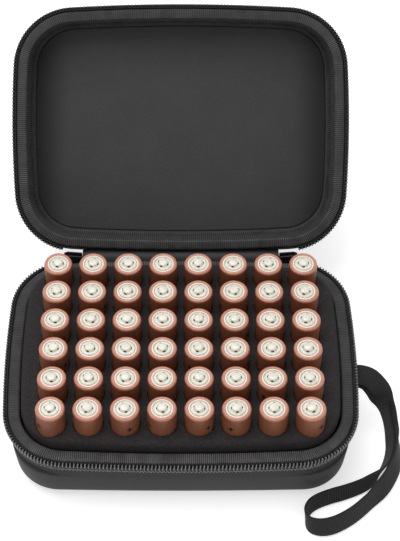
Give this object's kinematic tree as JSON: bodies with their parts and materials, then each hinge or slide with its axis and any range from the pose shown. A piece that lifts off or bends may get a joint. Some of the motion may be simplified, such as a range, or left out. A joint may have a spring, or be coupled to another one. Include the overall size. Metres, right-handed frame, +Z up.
{
  "type": "battery storage case",
  "caption": "Zippered clamshell case of moulded semi-rigid fabric, lid open, with a foam insert holding rows of cylindrical cells and a wrist strap.",
  "frame": {"origin": "middle of the flat underside of the base tray", "axes": "+Z up, +Y to the back where the lid hinges, +X to the right, the side with the wrist strap"},
  "size_m": [0.1991, 0.2539, 0.1316],
  "materials": {
    "moulded_fabric": "matte",
    "grosgrain": "matte",
    "zip_tape": "matte",
    "zip_coil": "satin",
    "foam": "matte",
    "lining": "matte",
    "hinge_fabric": "matte",
    "painted_zinc": "satin",
    "cell_jacket": "satin",
    "cell_cap": "bright",
    "webbing": "matte"
  },
  "bodies": {
    "base": {"base_shell": "moulded_fabric", "base_binding": "grosgrain", "base_zip_tape": "zip_tape", "base_zip_teeth": "zip_coil", "foam_floor": "foam", "foam_insert": "foam", "hinge_strip": "hinge_fabric", "slider_left": "painted_zinc", "slider_right": "painted_zinc", "strap_stack": "webbing", "wrist_strap": "webbing"},
    "lid": {"lid_shell": "moulded_fabric", "lid_panel": "lining", "lid_binding": "grosgrain", "lid_zip_tape": "zip_tape", "lid_zip_teeth": "zip_coil"},
    "pull_left": {"pull_tab_left": "painted_zinc"},
    "pull_right": {"pull_tab_right": "painted_zinc"},
    "row_1": {"cells_row_1": "cell_jacket", "terminals_row_1": "cell_cap"},
    "row_2": {"cells_row_2": "cell_jacket", "terminals_row_2": "cell_cap"},
    "row_3": {"cells_row_3": "cell_jacket", "terminals_row_3": "cell_cap"},
    "row_4": {"cells_row_4": "cell_jacket", "terminals_row_4": "cell_cap"},
    "row_5": {"cells_row_5": "cell_jacket", "terminals_row_5": "cell_cap"},
    "row_6": {"cells_row_6": "cell_jacket", "terminals_row_6": "cell_cap"}
  },
  "joints": [
    {"name": "lid_hinge", "type": "hinge", "parent": "base", "child": "lid", "pos_m": [0, 0.0665, 0.036], "axis": [-1, 0, 0], "range_deg": [-134.4, 45.6], "deforming": ["hinge_strip"]},
    {"name": "pull_left_swing", "type": "hinge", "parent": "base", "child": "pull_left", "pos_m": [-0.05705, 0.06795, 0.036], "axis": [-1, 0, 0], "range_deg": [-35, 0]},
    {"name": "pull_right_swing", "type": "hinge", "parent": "base", "child": "pull_right", "pos_m": [0.05705, 0.06795, 0.036], "axis": [-1, 0, 0], "range_deg": [-35, 0]},
    {"name": "row_1_lift", "type": "slide", "parent": "base", "child": "row_1", "axis": [0, 0, 1], "range_m": [0, 0.045]},
    {"name": "row_2_lift", "type": "slide", "parent": "base", "child": "row_2", "axis": [0, 0, 1], "range_m": [0, 0.045]},
    {"name": "row_3_lift", "type": "slide", "parent": "base", "child": "row_3", "axis": [0, 0, 1], "range_m": [0, 0.045]},
    {"name": "row_4_lift", "type": "slide", "parent": "base", "child": "row_4", "axis": [0, 0, 1], "range_m": [0, 0.045]},
    {"name": "row_5_lift", "type": "slide", "parent": "base", "child": "row_5", "axis": [0, 0, 1], "range_m": [0, 0.045]},
    {"name": "row_6_lift", "type": "slide", "parent": "base", "child": "row_6", "axis": [0, 0, 1], "range_m": [0, 0.045]}
  ]
}
